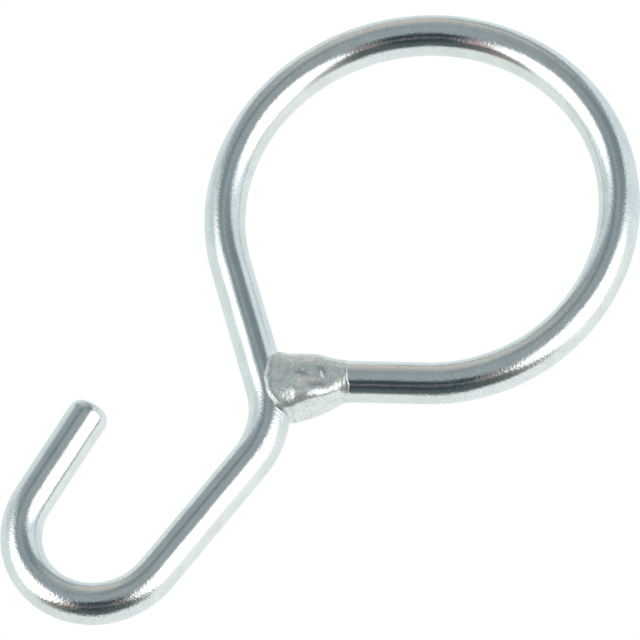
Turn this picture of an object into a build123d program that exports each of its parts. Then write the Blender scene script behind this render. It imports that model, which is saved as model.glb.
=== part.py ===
from build123d import *
import os
from math import cos, hypot, radians, sin, tan

# Butcher's hanging hook: one round steel rod bent into a rail ring at the top and a blunt hook at
# the bottom, with the ring's end butted against the neck and closed by a weld bead on each face.
# Millimetres. The rod's centreline lies in the XZ plane. +Z runs from the hook's bend to the ring's
# centre, and the origin is the rail seat, the inner top of the ring.

# Rod
ROD_D = 8.0
ROD_R = ROD_D / 2
TIP_ROUND = 2.2

# Ring, on the centreline. Angles are in degrees, anticlockwise from +X seen from -Y.
RING_R = 38.45
RING_CLOSE_ANGLE = -2.6
CLOSE_R = 33.6
CLOSE_DIR = 219.3
ROOT_GAP = 0.4

# Neck: the straight that leaves the ring, and its bend into the shank
NECK_DIR = -31.2
NECK_BEND_R = 17.6
SHANK_DIR = -84.5

# Hook
RING_TO_HOOK = 90.2
HOOK_R = 14.65
TIP_DIR = 102.7
TIP_LEG = 22.2

# Weld, measured along the closing leg and across it
WELD_TOE_BACK = 16.7
WELD_TOE_R = 4.2
WELD_MID_BACK = 8.6
WELD_MID_SHIFT = 1.2
WELD_MID_HALF = 6.2
WELD_MID_DEPTH = 4.8
WELD_END_BACK = 1.2
WELD_END_SHIFT = 1.8
WELD_END_HALF = 7.6
WELD_END_DEPTH = 4.7
WELD_END_TILT = 15.0

RING_C = (0.0, ROD_R - RING_R)
HOOK_C = (0.0, RING_C[1] - RING_TO_HOOK)


def along(point, angle, distance):
    """The point at a distance from another one, in the direction of an angle."""
    return (point[0] + distance * cos(radians(angle)), point[1] + distance * sin(radians(angle)))


def crossing(p, angle_p, q, angle_q):
    """Where the line through p meets the line through q."""
    ux, uz = cos(radians(angle_p)), sin(radians(angle_p))
    vx, vz = cos(radians(angle_q)), sin(radians(angle_q))
    t = ((q[0] - p[0]) * vz - (q[1] - p[1]) * vx) / (ux * vz - uz * vx)
    return (p[0] + t * ux, p[1] + t * uz)


def space(point):
    """A point of the rod's plane as a point in space."""
    return Vector(point[0], 0, point[1])


def arc(centre, radius, start, turn):
    """An arc of the rod's plane. A negative turn is clockwise seen from -Y."""
    return Plane.XZ * CenterArc(center=centre, radius=radius, start_angle=start, arc_size=turn)


def plane_along(point, angle):
    """A plane at a point, facing along an angle, with its x axis in the rod's plane."""
    normal = Vector(cos(radians(angle)), 0, sin(radians(angle)))
    across = Vector(cos(radians(angle + 90)), 0, sin(radians(angle + 90)))
    return Plane(origin=space(point), x_dir=across, z_dir=normal)


# Where the straights touch the ring and the hook bend
NECK_START = along(RING_C, NECK_DIR - 90, RING_R)
SHANK_END = along(HOOK_C, SHANK_DIR + 90, HOOK_R)
TIP_START = along(HOOK_C, TIP_DIR + 90, HOOK_R)
TIP_END = along(TIP_START, TIP_DIR, TIP_LEG)

# The neck bend
CORNER = crossing(NECK_START, NECK_DIR, SHANK_END, SHANK_DIR)
NECK_TURN = NECK_DIR - SHANK_DIR
NECK_TANGENT = NECK_BEND_R * tan(radians(NECK_TURN / 2))
BEND_START = along(CORNER, NECK_DIR, -NECK_TANGENT)
BEND_END = along(CORNER, SHANK_DIR, NECK_TANGENT)
BEND_C = along(BEND_START, NECK_DIR - 90, NECK_BEND_R)

# The closing bend at the ring's end, and the closing leg down to the neck
CLOSE_START = along(RING_C, RING_CLOSE_ANGLE, RING_R)
CLOSE_C = along(CLOSE_START, RING_CLOSE_ANGLE + 180, CLOSE_R)
CLOSE_TURN = RING_CLOSE_ANGLE - 90 - (CLOSE_DIR - 360)
CLOSE_LEG_START = along(CLOSE_C, CLOSE_DIR + 90 - 360, CLOSE_R)
WELD_ROOT = crossing(CLOSE_LEG_START, CLOSE_DIR, NECK_START, NECK_DIR)


def leg_end():
    """The closing leg's cut end: square, with its near corner a root gap away from the bend's flank."""
    reach = hypot(WELD_ROOT[0] - CLOSE_LEG_START[0], WELD_ROOT[1] - CLOSE_LEG_START[1])
    corner = along(WELD_ROOT, CLOSE_DIR + 90, ROD_R)
    ray = CLOSE_DIR + 180
    dx, dz = corner[0] - BEND_C[0], corner[1] - BEND_C[1]
    half = dx * cos(radians(ray)) + dz * sin(radians(ray))
    clear = NECK_BEND_R + ROD_R + ROOT_GAP
    back = (half * half - dx * dx - dz * dz + clear * clear) ** 0.5 - half
    return along(CLOSE_LEG_START, CLOSE_DIR, reach - back)


CLOSE_END = leg_end()


def hook_rod():
    """The one bent rod, from its blunt tip round the hook, up the neck and round the ring."""
    hook_turn = 360 + SHANK_DIR - TIP_DIR
    ring_turn = RING_CLOSE_ANGLE - (NECK_DIR - 90 + 360)
    path = Wire([
        Line(space(TIP_END), space(TIP_START)),
        arc(HOOK_C, HOOK_R, TIP_DIR + 90, hook_turn).edge(),
        Line(space(SHANK_END), space(BEND_END)),
        arc(BEND_C, NECK_BEND_R, SHANK_DIR + 90, NECK_TURN).edge(),
        Line(space(BEND_START), space(NECK_START)),
        arc(RING_C, RING_R, NECK_DIR - 90, ring_turn).edge(),
        arc(CLOSE_C, CLOSE_R, RING_CLOSE_ANGLE, -CLOSE_TURN).edge(),
        Line(space(CLOSE_LEG_START), space(CLOSE_END)),
    ])
    section = plane_along(TIP_END, TIP_DIR + 180) * Circle(ROD_R)
    rod = sweep(section, path=path)
    rim = rod.edges().filter_by(GeomType.CIRCLE).sort_by_distance(space(TIP_END))[0]
    return fillet(rim, TIP_ROUND)


def weld_section(back, shift, half, depth, tilt):
    """An oval across the closing leg, a distance back from the root and shifted towards the shank."""
    centre = along(along(WELD_ROOT, CLOSE_DIR, -back), CLOSE_DIR + 90, shift)
    return plane_along(centre, CLOSE_DIR + tilt) * Ellipse(half, depth)


def weld_beads():
    """The weld metal round the closing leg's end, as the front bead and the back bead."""
    body = loft([
        weld_section(WELD_TOE_BACK, 0, WELD_TOE_R, WELD_TOE_R - 0.01, 0),
        weld_section(WELD_MID_BACK, WELD_MID_SHIFT, WELD_MID_HALF, WELD_MID_DEPTH, 0),
        weld_section(WELD_END_BACK, WELD_END_SHIFT, WELD_END_HALF, WELD_END_DEPTH, WELD_END_TILT),
    ])
    metal = body - hook_rod()
    front = split(metal, bisect_by=Plane.XZ, keep=Keep.TOP)
    back = split(metal, bisect_by=Plane.XZ, keep=Keep.BOTTOM)
    return front, back


def main():
    """Write one STEP file for each piece."""
    os.makedirs("parts", exist_ok=True)
    front, back = weld_beads()
    export_step(hook_rod(), "parts/hook_rod.step")
    export_step(front, "parts/weld_front.step")
    export_step(back, "parts/weld_back.step")


main()
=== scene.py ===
import math

import bpy
import numpy as np
from mathutils import Matrix, Vector


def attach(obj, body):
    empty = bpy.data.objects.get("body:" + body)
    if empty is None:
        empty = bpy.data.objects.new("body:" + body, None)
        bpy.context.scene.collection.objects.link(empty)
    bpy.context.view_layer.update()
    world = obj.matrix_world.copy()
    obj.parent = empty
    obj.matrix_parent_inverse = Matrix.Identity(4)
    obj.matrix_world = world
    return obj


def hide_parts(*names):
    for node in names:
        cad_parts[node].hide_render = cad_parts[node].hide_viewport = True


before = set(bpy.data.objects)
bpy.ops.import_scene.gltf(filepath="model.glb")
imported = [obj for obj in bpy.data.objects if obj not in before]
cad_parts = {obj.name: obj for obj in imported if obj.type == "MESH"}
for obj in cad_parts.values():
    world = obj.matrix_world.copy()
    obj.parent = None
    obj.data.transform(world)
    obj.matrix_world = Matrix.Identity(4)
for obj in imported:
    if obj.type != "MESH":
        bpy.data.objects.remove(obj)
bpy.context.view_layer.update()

MM = 0.001

# ---------------------------------------------------------------- driving dimensions
# The same as the CAD model's, in millimetres and in degrees anticlockwise from +X seen from -Y.
ROD_R = 4.0
TIP_ROUND = 2.2
TIP_LEG = 22.2
TIP_DIR = 102.7
HOOK_R = 14.65
RING_TO_HOOK = 90.2
SHANK_DIR = -84.5
NECK_BEND_R = 17.6
NECK_DIR = -31.2
RING_R = 38.45
RING_CLOSE_ANGLE = -2.6
CLOSE_R = 33.6
CLOSE_DIR = 219.3
ROOT_GAP = 0.4


def along(point, angle, distance):
    """The point at a distance from another one, in the direction of an angle."""
    a = math.radians(angle)
    return (point[0] + distance * math.cos(a), point[1] + distance * math.sin(a))


def crossing(p, angle_p, q, angle_q):
    """Where the line through p meets the line through q."""
    ux, uz = along((0, 0), angle_p, 1)
    vx, vz = along((0, 0), angle_q, 1)
    t = ((q[0] - p[0]) * vz - (q[1] - p[1]) * vx) / (ux * vz - uz * vx)
    return (p[0] + t * ux, p[1] + t * uz)


RING_C = (0.0, ROD_R - RING_R)
HOOK_C = (0.0, RING_C[1] - RING_TO_HOOK)
TIP_START = along(HOOK_C, TIP_DIR + 90, HOOK_R)
TIP_END = along(TIP_START, TIP_DIR, TIP_LEG)
SHANK_END = along(HOOK_C, SHANK_DIR + 90, HOOK_R)
NECK_START = along(RING_C, NECK_DIR - 90, RING_R)

CORNER = crossing(NECK_START, NECK_DIR, SHANK_END, SHANK_DIR)
NECK_TURN = NECK_DIR - SHANK_DIR
NECK_TANGENT = NECK_BEND_R * math.tan(math.radians(NECK_TURN / 2))
BEND_START = along(CORNER, NECK_DIR, -NECK_TANGENT)
BEND_END = along(CORNER, SHANK_DIR, NECK_TANGENT)
BEND_C = along(BEND_START, NECK_DIR - 90, NECK_BEND_R)

CLOSE_START = along(RING_C, RING_CLOSE_ANGLE, RING_R)
CLOSE_C = along(CLOSE_START, RING_CLOSE_ANGLE + 180, CLOSE_R)
CLOSE_TURN = RING_CLOSE_ANGLE - 90 - (CLOSE_DIR - 360)
CLOSE_LEG_START = along(CLOSE_C, CLOSE_DIR - 270, CLOSE_R)
WELD_ROOT = crossing(CLOSE_LEG_START, CLOSE_DIR, NECK_START, NECK_DIR)


def leg_length():
    """Length of the closing leg, whose cut end stops a root gap away from the neck bend's flank."""
    corner = along(WELD_ROOT, CLOSE_DIR + 90, ROD_R)
    dx, dz = corner[0] - BEND_C[0], corner[1] - BEND_C[1]
    ux, uz = along((0, 0), CLOSE_DIR + 180, 1)
    half = dx * ux + dz * uz
    clear = NECK_BEND_R + ROD_R + ROOT_GAP
    back = math.sqrt(half ** 2 - dx ** 2 - dz ** 2 + clear ** 2) - half
    return math.dist(CLOSE_LEG_START, WELD_ROOT) - back


# The rod's centreline from its tip: (length, 0) is a straight, and (radius, turn in degrees) an arc.
# A positive turn is to the left.
RUNS = [
    (TIP_LEG, 0),
    (HOOK_R, 360 + SHANK_DIR - TIP_DIR),
    (math.dist(SHANK_END, BEND_END), 0),
    (NECK_BEND_R, NECK_TURN),
    (math.dist(BEND_START, NECK_START), 0),
    (RING_R, RING_CLOSE_ANGLE - NECK_DIR + 90 - 360),
    (CLOSE_R, -CLOSE_TURN),
    (leg_length(), 0),
]


def rod_line(step):
    """Points and headings along the rod's centreline from the tip, with the distance of each."""
    x, z = TIP_END
    heading = math.radians(TIP_DIR + 180)
    rows = [(x, z, heading, 0.0)]
    done = 0.0
    for size, turn in RUNS:
        t = math.radians(turn)
        length = abs(size * t) if turn else size
        n = max(2, round(length / step))
        for i in range(1, n + 1):
            u = i / n
            if turn:
                side = math.copysign(1, t)
                cx = x - side * size * math.sin(heading)
                cz = z + side * size * math.cos(heading)
                h = heading + t * u
                px = cx + side * size * math.sin(h)
                pz = cz - side * size * math.cos(h)
            else:
                h = heading
                px = x + size * u * math.cos(h)
                pz = z + size * u * math.sin(h)
            rows.append((px, pz, h, done + length * u))
        x, z, heading, done = rows[-1]
    return np.array(rows)


def smooth(x, a, b):
    """0 up to a, 1 from b, and a smooth step between them."""
    u = np.clip((x - a) / (b - a), 0, 1)
    return u * u * (3 - 2 * u)


def mesh_object(name, verts, faces, uvs=None):
    """A smooth-shaded mesh object from points in millimetres."""
    mesh = bpy.data.meshes.new(name)
    mesh.from_pydata((np.asarray(verts) * MM).tolist(), [], faces)
    if uvs is not None:
        layer = mesh.uv_layers.new(name="along")
        loops = np.zeros(len(mesh.loops), dtype=np.int32)
        mesh.loops.foreach_get("vertex_index", loops)
        layer.data.foreach_set("uv", np.asarray(uvs)[loops].astype(np.float32).ravel())
    mesh.update()
    mesh.polygons.foreach_set("use_smooth", [True] * len(mesh.polygons))
    obj = bpy.data.objects.new(name, mesh)
    bpy.context.scene.collection.objects.link(obj)
    return obj


def grid_faces(rows, cols, closed):
    """Quads of a rows by cols grid of points, joined round its columns if closed."""
    faces = []
    for i in range(rows - 1):
        for j in range(cols if closed else cols - 1):
            k = (j + 1) % cols
            faces.append((i * cols + j, i * cols + k, (i + 1) * cols + k, (i + 1) * cols + j))
    return faces


# ---------------------------------------------------------------- the rod
AROUND = 72
LINE_STEP = 0.6
DOME_RISE = 0.12
EDGE_SWEEP = math.radians(80)
TEXTURE_LENGTH = 25.0
STRAIN_FADE = 3.0
PEEL_STRAIGHT = 0.06
PEEL_BENT = 0.40


def build_rod():
    """The bent rod, with a measure of how rough bending has left each point of it."""
    line = rod_line(LINE_STEP)
    phi = np.linspace(0, 2 * math.pi, AROUND, endpoint=False)
    rows, uvs = [], []

    def ring(x, z, h, dist, radius):
        left = np.array([-math.sin(h), 0, math.cos(h)])
        front = np.array([0.0, -1.0, 0.0])
        p = np.array([x, 0, z])
        across = (np.cos(phi) * radius)[:, None] * left
        rows.append(p + across + (np.sin(phi) * radius)[:, None] * front)
        # half round and back again, so that the texture has no seam
        fold = 0.5 - np.abs(phi / (2 * math.pi) - 0.5)
        uvs.append(np.column_stack([fold, np.full(AROUND, dist / TEXTURE_LENGTH)]))

    # the tip's slightly domed face and its worked edge, which meets the side at a faint crease
    x0, z0, h0, _ = line[0]
    face = ROD_R - TIP_ROUND
    ux, uz = math.cos(h0), math.sin(h0)
    for r in np.linspace(0.02, face, 9)[:-1]:
        d = DOME_RISE * (r / face) ** 2
        ring(x0 + ux * d, z0 + uz * d, h0, d, r)
    for a in np.linspace(0, EDGE_SWEEP, 14)[:-1]:
        d = DOME_RISE + (TIP_ROUND - DOME_RISE) * (1 - math.cos(a)) / (1 - math.cos(EDGE_SWEEP))
        radius = face + TIP_ROUND * math.sin(a) / math.sin(EDGE_SWEEP)
        ring(x0 + ux * d, z0 + uz * d, h0, d, radius)
    for x, z, h, dist in line:
        if dist <= TIP_ROUND:
            continue
        # a very slight waviness along the drawn and bent rod
        wave = 0.010 * np.sin(dist / 3.1) * np.cos(phi - dist / 40) + 0.006 * np.sin(dist / 1.7 + 2 * phi)
        ring(x, z, h, dist, ROD_R + wave)
    faces = grid_faces(len(rows), AROUND, True)
    rod = mesh_object("rod", np.vstack(rows), faces, np.vstack(uvs))
    # how much bending has roughened the surface: most on the outside of the tightest bends
    strain = np.zeros(len(rows))
    outer = np.zeros(len(rows))
    at = np.vstack(uvs)[::AROUND, 1] * TEXTURE_LENGTH
    start = 0.0
    for size, turn in RUNS:
        length = abs(size * math.radians(turn)) if turn else size
        if turn:
            end = start + length
            inside = smooth(at, start - STRAIN_FADE, start + STRAIN_FADE)
            inside = inside * (1 - smooth(at, end - STRAIN_FADE, end + STRAIN_FADE))
            strain += inside * ROD_R / size
            outer += inside * (-math.copysign(1, turn))
        start += length
    outside = 0.6 + 0.4 * outer[:, None] * np.cos(phi)[None, :]
    peel = PEEL_STRAIGHT + PEEL_BENT * np.sqrt(strain)[:, None] * outside
    layer = rod.data.attributes.new("peel", "FLOAT", "POINT")
    layer.data.foreach_set("value", peel.astype(np.float32).ravel())
    return rod


# ---------------------------------------------------------------- the weld
def bump(x, c, w):
    """A rounded ridge at c, about w wide on each side."""
    return np.exp(-((x - c) / w) ** 2)


def soft_min(a, b, k):
    """The smaller of two heights, with a rounded change-over."""
    h = np.clip(0.5 + 0.5 * (b - a) / k, 0, 1)
    return b * (1 - h) + a * h - k * h * (1 - h)


def dent(e, p, at_e, at_p, wide_e, wide_p):
    """A rounded spot on the weld, 1 at its middle."""
    return np.exp(-(((e - at_e) / wide_e) ** 2) - (((p - at_p) / wide_p) ** 2))


# The weld's lip bows out to a nose and falls back on both sides of it. Distances are in the weld's own
# plane: "past" is along the closing leg from the weld's root, and "across" is square to it.
LIP_NOSE_ACROSS = 0.6
LIP_NOSE_PAST = -0.8
LIP_FALL_ABOVE = 0.033
LIP_FALL_BELOW = 0.066
TOE_PAST = -16.9
TOE_BOW = 0.55
LIP_GAP = 0.42
LIP_SLOPE = 1.15
LIP_ROUND = 0.7
LIP_TURN = 0.30
LIP_DROP = 0.95
BEAD_FACE = 4.2
BEAD_REACH = (-6.0, 9.3)
# The bead's cross-section, half its width to each side of the closing leg's axis and its depth.
BEAD_START = 4.08
BEAD_START_TOP = 4.1
BEAD_SWELL = 0.85
BEAD_FLARE = 0.40
BEAD_FLARE_FROM = -15.3
BEAD_SQUARE_BELOW = 3.5
BEAD_SQUARE_ABOVE = 0.6
BEAD_STEP = 0.10
BEAD_DEPTH_RISE = 0.27


def lip_line(across):
    """How far past the root the lip is, at a place across the weld."""
    off = across - LIP_NOSE_ACROSS
    return LIP_NOSE_PAST - np.where(off < 0, LIP_FALL_ABOVE, LIP_FALL_BELOW) * off ** 2


def rod_height(past, across):
    """How far the neck's surface stands out of the rod's plane at a point of the weld's own plane."""
    ux, uz = along((0, 0), CLOSE_DIR, 1)
    dx, dz = BEND_C[0] - WELD_ROOT[0], BEND_C[1] - WELD_ROOT[1]
    bend_past = dx * ux + dz * uz
    bend_across = dz * ux - dx * uz
    off = np.hypot(past - bend_past, across - bend_across) - NECK_BEND_R
    return np.sqrt(np.clip(ROD_R ** 2 - off ** 2, 0, None))


def build_weld(name, side):
    """One weld bead. side is -1 for the front face and +1 for the back face."""
    ux, uz = along((0, 0), CLOSE_DIR, 1)
    past_axis = np.array([ux, 0, uz])
    across_axis = np.array([-uz, 0, ux])
    out_axis = np.array([0, float(side), 0])
    root = np.array([WELD_ROOT[0], 0, WELD_ROOT[1]])
    across, down = 200, 150
    seed = 0.0 if side < 0 else 2.1
    theta = np.linspace(0, math.pi, across)
    cos_t, sin_t = np.cos(theta), np.sin(theta)

    def place(e, p, y):
        """Points from their positions along, across and out of the weld."""
        return e[:, None] * past_axis + p[:, None] * across_axis + y[:, None] * out_axis

    def section(e):
        """Across and out positions of the bead's cross-section at e past the root."""
        top = BEAD_START_TOP + BEAD_SWELL * (smooth(e, -14.5, -9.5) + smooth(e, -5, -1.5))
        bottom = BEAD_START + BEAD_FLARE * np.clip(e - BEAD_FLARE_FROM, 0, None)
        flat = smooth(e, -16.5, -11)
        power = 2 + flat * np.where(cos_t > 0, BEAD_SQUARE_BELOW, BEAD_SQUARE_ABOVE)
        rho = (np.abs(cos_t) ** power + np.abs(sin_t) ** power) ** (-1 / power)
        half = np.where(cos_t > 0, bottom, top)
        step = BEAD_STEP * smooth(e, -16.8, -15.8)
        depth = BEAD_START + step + BEAD_DEPTH_RISE * smooth(e, -16, -9)
        return half * rho * cos_t, depth * rho * sin_t

    lip_p, _ = section(np.full(across, -3.0))
    lip = lip_line(lip_p) + 0.07 * np.sin(1.9 * lip_p + seed)
    toe = TOE_PAST - TOE_BOW * cos_t + 0.10 * np.sin(5 * theta + seed) + 0.06 * np.sin(11 * theta + 2 * seed)
    rows, painted_shade = [], []
    for t in np.linspace(0, 1, down):
        e = toe + t * (lip - toe)
        pp, yy = section(e)
        face = np.clip(yy / BEAD_FACE, 0, 1) ** 2
        back = lip - e
        limit = rod_height(lip, np.clip(pp, *BEAD_REACH)) + LIP_GAP + LIP_SLOPE * back
        yy = np.where(yy > 0, soft_min(yy, limit, LIP_ROUND), yy)
        # the two runs of the bead, the ridge between them, and the crater where the second one ended
        lean = np.where(e > -8.8, 4.0, 2.7)
        relief = 0.88 * dent(e, pp, -8.8, 4.3, lean, 2.6) + 0.45 * dent(e, pp, -7.4, 7.8, 1.5, 1.8)
        relief = relief + 0.10 * dent(e, pp, -14.8, 3.4, 1.3, 1.6)
        relief = relief + 0.05 * bump(e + 0.2 * pp, -5.9, 0.5) * smooth(pp, -1.5, 1) * (1 - smooth(pp, 7, 9))
        if side < 0:
            relief = relief - 0.34 * dent(e, pp, -10.2, 1.0, 1.7, 1.1)
            relief = relief - 0.26 * dent(e, pp, -7.4, 0.1, 0.8, 0.8)
            relief = relief + 0.14 * bump(e + 0.45 * pp, -11.8, 0.45) * dent(e, pp, -12.2, 0.5, 1.2, 1.7)
        else:
            relief = relief - 0.30 * dent(e, pp, -9.0, 0.8, 2.0, 1.4)
        # shallow unevenness all over, then a groove and fine ripples near the toe
        relief = relief + 0.008 * np.sin(2.6 * e + 1.1 * pp + seed) * np.sin(2.3 * pp - 0.9 * e)
        relief = relief + 0.003 * np.sin(5.1 * e - 2.2 * pp) * np.sin(4.3 * pp + 1.7 * e + seed)
        relief = relief - 0.03 * bump(e, -14.7 - 0.08 * pp, 0.3)
        relief = relief + 0.010 * np.sin(9 * e) * (1 - smooth(e, -15.4, -14.4))
        # the rolled edge of the lip
        relief = relief + 0.15 * bump(back, 0.45, 0.28)
        yy = yy + face * relief
        # painted shade: darker colour in the crater's hollows and in two bands across the bead, plus a
        # darker line just inside the lip's rolled edge
        shade_spots = 0.9 * dent(e, pp, -8.0, 0.2, 1.2, 1.0) + 0.8 * dent(e, pp, -11.4, -0.2, 1.3, 1.1)
        shade_spots = shade_spots + 0.7 * dent(e, pp, -10.8, 2.6, 2.4, 0.7) + 0.5 * dent(e, pp, -10.6, 6.6, 2.6, 0.7)
        painted_shade.append(shade_spots * face + 0.35 * bump(back, 0.95, 0.22))
        rise = 0.95 + 0.05 * smooth(e - toe, 0, 0.5)
        yy = yy * rise
        pp = pp * rise
        rows.append(root + place(e, pp, yy))
    # the lip turns over and goes down to the rod
    for u in np.linspace(0, 1, 10)[1:]:
        painted_shade.append(np.zeros(across))
        k = 1 - math.cos(u * math.pi / 2)
        last_e = e + LIP_TURN * math.sin(u * math.pi / 2)
        last_p = pp * (1 - 0.09 * k)
        last_y = yy - np.sign(yy) * np.minimum(np.abs(yy), LIP_DROP) * k
        rows.append(root + place(last_e, last_p, last_y))
    faces = grid_faces(len(rows), across, False)
    if side > 0:
        faces = [f[::-1] for f in faces]
    down_uv = np.repeat(np.linspace(0, 1, len(rows)), across)
    uvs = np.column_stack([np.tile(theta / math.pi, len(rows)), down_uv])
    bead = mesh_object(name, np.vstack(rows), faces, uvs)
    # the painted shade is passed to the material as a point attribute
    layer = bead.data.attributes.new("painted_shade", "FLOAT", "POINT")
    layer.data.foreach_set("value", np.concatenate(painted_shade).astype(np.float32))
    return bead


# ---------------------------------------------------------------- materials
class Nodes:
    """Small helper that adds nodes to one tree and links them."""

    def __init__(self, tree):
        self.tree = tree

    def add(self, kind, inputs=None, **props):
        node = self.tree.nodes.new(kind)
        for key, value in props.items():
            setattr(node, key, value)
        for key, value in (inputs or {}).items():
            if isinstance(value, bpy.types.NodeSocket):
                self.tree.links.new(value, node.inputs[key])
            else:
                node.inputs[key].default_value = value
        return node

    def math(self, op, a, b=0.0, c=0.0, clamp=False):
        return self.add("ShaderNodeMath", {0: a, 1: b, 2: c}, operation=op, use_clamp=clamp).outputs[0]

    def ramp(self, value, lo, hi, out_lo=0.0, out_hi=1.0):
        inputs = {0: value, 1: lo, 2: hi, 3: out_lo, 4: out_hi}
        return self.add("ShaderNodeMapRange", inputs, interpolation_type="SMOOTHSTEP").outputs[0]

    def noise(self, vector, scale, detail, roughness=0.5):
        inputs = {"Vector": vector, "Scale": scale, "Detail": detail, "Roughness": roughness}
        return self.add("ShaderNodeTexNoise", inputs).outputs[0]

    def mix(self, fac, a, b):
        node = self.add("ShaderNodeMix", {0: fac, 6: a, 7: b}, data_type="RGBA")
        return node.outputs[2]


# Noise scales, per metre of the object, and colours of the plate.
CLOUD_SCALE = 240.0
MOTTLE_SCALE = 900.0
GRAIN_SCALE = 2300.0
LINE_STRETCH = (120.0, 4.0, 1.0)
SPECK_GREY = (0.45, 0.46, 0.46, 1.0)
# the grey of the painted shade in the weld's hollows and bands
PAINTED_SHADE_GREY = (0.36, 0.40, 0.42, 1.0)
YELLOW_BLOOM = (0.72, 0.74, 0.64, 1.0)
GRAIN_DEPTH = 0.00003


def zinc(name, tone, rough, weld=False):
    """Bright zinc plate with a fine grain and faint clouds: lined on the rod, with painted shade on the
    weld.
    """
    mat = bpy.data.materials.new(name)
    mat.use_nodes = True
    tree = mat.node_tree
    tree.nodes.clear()
    n = Nodes(tree)
    out = n.add("ShaderNodeOutputMaterial")
    bsdf = n.add("ShaderNodeBsdfPrincipled", {"Metallic": 0.72 if weld else 1.0})
    tree.links.new(bsdf.outputs[0], out.inputs[0])
    obj = n.add("ShaderNodeTexCoord").outputs["Object"]
    speck = 1.7
    if not weld:
        peel = n.add("ShaderNodeAttribute", attribute_name="peel").outputs["Fac"]
        speck = n.math("MULTIPLY_ADD", peel, 2.0, 0.35, clamp=True)
    cloud = n.noise(obj, CLOUD_SCALE, 3.0)
    fine = n.noise(obj, GRAIN_SCALE, 1.5, 0.55)
    dark = tuple(c * 0.96 for c in tone) + (1.0,)
    light = tuple(min(1.0, c * 1.03) for c in tone) + (1.0,)
    plate = n.mix(n.ramp(cloud, 0.35, 0.65), dark, light)
    specks = n.math("MULTIPLY", n.ramp(fine, 0.44, 0.64, 0.0, 0.26), speck)
    plate = n.mix(specks, plate, SPECK_GREY)
    if weld:
        mottle = n.noise(obj, MOTTLE_SCALE, 3.0, 0.6)
        # painted shade: the weld's colour goes to a flat grey where the shade attribute is high, broken up
        # by the mottle
        painted_shade = n.add("ShaderNodeAttribute", attribute_name="painted_shade").outputs["Fac"]
        patchy_shade = n.math("MULTIPLY", painted_shade, n.ramp(mottle, 0.35, 0.6, 0.6, 1.3), clamp=True)
        plate = n.mix(patchy_shade, plate, PAINTED_SHADE_GREY)
        plate = n.mix(n.ramp(mottle, 0.46, 0.66, 0.0, 0.40), plate, YELLOW_BLOOM)
    tree.links.new(plate, bsdf.inputs["Base Color"])
    cloudy = n.ramp(cloud, 0.3, 0.7, rough * 0.95, rough * 1.05)
    roughness = n.math("ADD", cloudy, n.ramp(fine, 0.45, 0.75, 0.0, 0.03))
    tree.links.new(roughness, bsdf.inputs["Roughness"])
    if weld:
        height = n.math("MULTIPLY_ADD", mottle, 0.4, n.math("MULTIPLY", fine, 2.0))
    else:
        uv = n.add("ShaderNodeUVMap", uv_map="along").outputs[0]
        stretched = n.add("ShaderNodeMapping", {"Vector": uv, "Scale": LINE_STRETCH}).outputs[0]
        lines = n.noise(stretched, 1.0, 3.0, 0.7)
        height = n.math("MULTIPLY", n.math("MULTIPLY", fine, 7.0), peel)
        height = n.math("ADD", height, n.math("MULTIPLY", lines, 0.5))
    bumps = n.add("ShaderNodeBump", {"Strength": 1.0, "Distance": GRAIN_DEPTH, "Height": height})
    tree.links.new(bumps.outputs[0], bsdf.inputs["Normal"])
    return mat


rod = build_rod()
front = build_weld("weld_bead_front", -1)
back = build_weld("weld_bead_back", 1)
rod.data.materials.append(zinc("zinc_rod", (0.87, 0.89, 0.89), 0.06))
weld_mat = zinc("zinc_weld", (0.97, 1.0, 0.97), 0.20, weld=True)
front.data.materials.append(weld_mat)
back.data.materials.append(weld_mat)
pieces = (
    (rod, "hook_rod", "zinc_rod"),
    (front, "weld_front", "zinc_weld"),
    (back, "weld_back", "zinc_weld"),
)
for piece, node, slot in pieces:
    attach(piece, "root")
    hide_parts(node)

# ---------------------------------------------------------------- camera
# The camera looks from the front and a little from the right, upwards, and it is rolled over.
CAMERA_AZIMUTH = math.radians(22.94)
CAMERA_RISE = math.radians(13.75)
CAMERA_ROLL = math.radians(45.17)
CAMERA_DISTANCE = 1.23416
CAMERA_LENS = 360.27
CAMERA_AIM = Vector((1.244, 0.0, -64.316)) * MM

AHEAD = Vector((
    -math.sin(CAMERA_AZIMUTH) * math.cos(CAMERA_RISE),
    math.cos(CAMERA_AZIMUTH) * math.cos(CAMERA_RISE),
    math.sin(CAMERA_RISE),
))
LEVEL = Vector((math.cos(CAMERA_AZIMUTH), math.sin(CAMERA_AZIMUTH), 0))
UPRIGHT = LEVEL.cross(AHEAD)
RIGHT = math.cos(CAMERA_ROLL) * LEVEL + math.sin(CAMERA_ROLL) * UPRIGHT
DOWN = math.sin(CAMERA_ROLL) * LEVEL - math.cos(CAMERA_ROLL) * UPRIGHT

cam_data = bpy.data.cameras.new("camera")
cam_data.sensor_width = 36.0
cam_data.lens = CAMERA_LENS
cam_data.clip_start = 0.05
cam_data.clip_end = 20.0
cam = bpy.data.objects.new("camera", cam_data)
bpy.context.scene.collection.objects.link(cam)
eye = CAMERA_AIM - AHEAD * CAMERA_DISTANCE
cam.matrix_world = Matrix((
    (RIGHT.x, -DOWN.x, -AHEAD.x, eye.x),
    (RIGHT.y, -DOWN.y, -AHEAD.y, eye.y),
    (RIGHT.z, -DOWN.z, -AHEAD.z, eye.z),
    (0, 0, 0, 1),
))
bpy.context.scene.camera = cam

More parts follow.
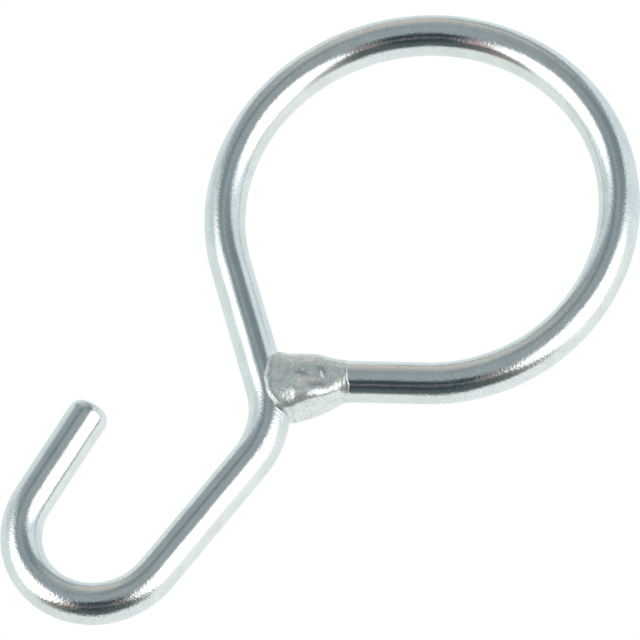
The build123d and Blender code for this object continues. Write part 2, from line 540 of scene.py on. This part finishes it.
# ---------------------------------------------------------------- floor
floor_mesh = bpy.data.meshes.new("floor")
FLOOR_HALF = 8.0
FLOOR_Z = -0.62
floor_corners = [(x * FLOOR_HALF, y * FLOOR_HALF, FLOOR_Z) for x, y in ((-1, -1), (1, -1), (1, 1), (-1, 1))]
floor_mesh.from_pydata(floor_corners, [], [(0, 1, 2, 3)])
floor = bpy.data.objects.new("floor", floor_mesh)
bpy.context.scene.collection.objects.link(floor)
floor_mat = bpy.data.materials.new("floor_paper")
floor_mat.use_nodes = True
fb = floor_mat.node_tree.nodes["Principled BSDF"]
fb.inputs["Base Color"].default_value = (0.92, 0.92, 0.92, 1)
fb.inputs["Roughness"].default_value = 0.9
floor.data.materials.append(floor_mat)
floor.visible_glossy = False

# ---------------------------------------------------------------- the light tent, as a world
# Directions are given as an azimuth and an elevation about the tent's own axes: its front faces the
# camera position, so that its left and right soft boxes stand on both sides of it.
world = bpy.data.worlds.new("tent")
bpy.context.scene.world = world
world.use_nodes = True
wt = world.node_tree
wt.nodes.clear()
w = Nodes(wt)
direction = w.add("ShaderNodeTexCoord").outputs["Generated"]


def dot(axis):
    return w.add("ShaderNodeVectorMath", {0: direction, 1: tuple(axis)}, operation="DOT_PRODUCT").outputs[1]


side = dot(RIGHT)
up = dot(-DOWN)
toward = dot(-AHEAD)
azimuth = w.math("MULTIPLY", w.math("ARCTAN2", side, toward), 180 / math.pi)
up = w.math("MINIMUM", w.math("MAXIMUM", up, -1.0), 1.0)
elevation = w.math("MULTIPLY", w.math("ARCSINE", up), 180 / math.pi)


def rgb(r, g, b):
    """An sRGB colour, 0 to 255, as linear light."""
    out = []
    for c in (r, g, b):
        c = c / 255
        out.append(c / 12.92 if c <= 0.04045 else ((c + 0.055) / 1.055) ** 2.4)
    return tuple(out) + (1.0,)


def blob(az, el, half_az, half_el, power, soft):
    """1 inside a rounded box of directions and 0 outside it, with a soft edge."""
    da = w.math("ABSOLUTE", w.math("SUBTRACT", azimuth, az))
    da = w.math("MINIMUM", da, w.math("SUBTRACT", 360.0, da))
    de = w.math("ABSOLUTE", w.math("SUBTRACT", elevation, el))
    across = w.math("POWER", w.math("DIVIDE", da, half_az), power)
    upward = w.math("POWER", w.math("DIVIDE", de, half_el), power)
    total = w.math("ADD", across, upward)
    return w.ramp(w.math("POWER", total, 1 / power), 1 - soft, 1 + soft, 1.0, 0.0)


# the lower edge of the tent's top: it steps up towards the right
step_up = w.ramp(azimuth, 38, 78, 0, 16)
above = w.math("SUBTRACT", elevation, w.math("ADD", step_up, 45.0))
from_front = w.math("ABSOLUTE", azimuth)

TOP_GREY = rgb(152, 162, 164)
TOP_BEIGE = rgb(200, 198, 190)
SOFT_BOX = (1.5, 1.5, 1.5, 1)
low = w.mix(w.ramp(azimuth, -70, 70), rgb(229, 238, 233), rgb(236, 243, 243))
sky = w.mix(w.ramp(elevation, -30, 40), low, rgb(220, 232, 235))
layers = [
    # a seam low on the tent's left wall
    (blob(-98, 31, 22, 12, 2.0, 0.6), rgb(206, 215, 216)),
    # the grey top of the tent, beige towards its sides
    (w.math("MULTIPLY", w.ramp(above, -6, 5), w.ramp(from_front, 118, 140, 1.0, 0.0)), TOP_GREY),
    (w.ramp(elevation, 55, 68), TOP_GREY),
    (w.math("MULTIPLY", w.ramp(above, 8, 28), w.ramp(from_front, 10, 100, 0.25, 1.0)), TOP_BEIGE),
    # the grey gap between the soft boxes, with the darker corners of the top above them
    (blob(-5, 34, 36, 38, 3.0, 0.25), rgb(154, 165, 168)),
    (blob(-37, 53, 15, 8, 2.0, 0.5), rgb(122, 138, 141)),
    (blob(32, 60, 34, 14, 2.0, 0.5), rgb(124, 140, 143)),
    # the dark room below, with a rail across it
    (blob(-8, -36, 62, 23, 2.2, 0.25), rgb(116, 114, 110)),
    (blob(-10, -40, 44, 28, 2.2, 0.35), rgb(88, 98, 99)),
    (blob(-12, -14, 17, 26, 2.6, 0.25), rgb(58, 72, 78)),
    (w.math("MULTIPLY", blob(-12, -14, 30, 2.4, 2.0, 0.7), 0.4), rgb(200, 192, 190)),
    # warm edges of the soft boxes
    (blob(-33, -12, 6, 13, 2.0, 0.5), rgb(186, 165, 160)),
    (blob(7, -8, 5, 13, 2.0, 0.5), rgb(150, 136, 132)),
    (blob(-60, -33, 15, 6, 2.0, 0.8), rgb(156, 146, 138)),
    (blob(44, -35, 14, 7, 2.0, 0.8), rgb(128, 124, 118)),
    # the soft boxes, and the glow of the right one on the wall
    (w.math("MULTIPLY", blob(66, -10, 34, 24, 2.0, 0.7), 0.8), rgb(246, 250, 248)),
    (blob(-56, 9, 23, 28, 2.5, 0.2), SOFT_BOX),
    (blob(43, 6, 29, 28, 2.5, 0.22), SOFT_BOX),
]
colour = sky
for mask, tint in layers:
    colour = w.mix(mask, colour, tint)
seen = w.add("ShaderNodeLightPath").outputs["Is Camera Ray"]
colour = w.mix(seen, colour, (1.0, 1.0, 1.0, 1.0))
bg = w.add("ShaderNodeBackground", {"Color": colour, "Strength": 1.0})
wo = w.add("ShaderNodeOutputWorld")
wt.links.new(bg.outputs[0], wo.inputs[0])
world.cycles.sampling_method = "MANUAL"
world.cycles.sample_map_resolution = 512

scene = bpy.context.scene
scene.view_settings.view_transform = "Standard"
scene.view_settings.look = "None"
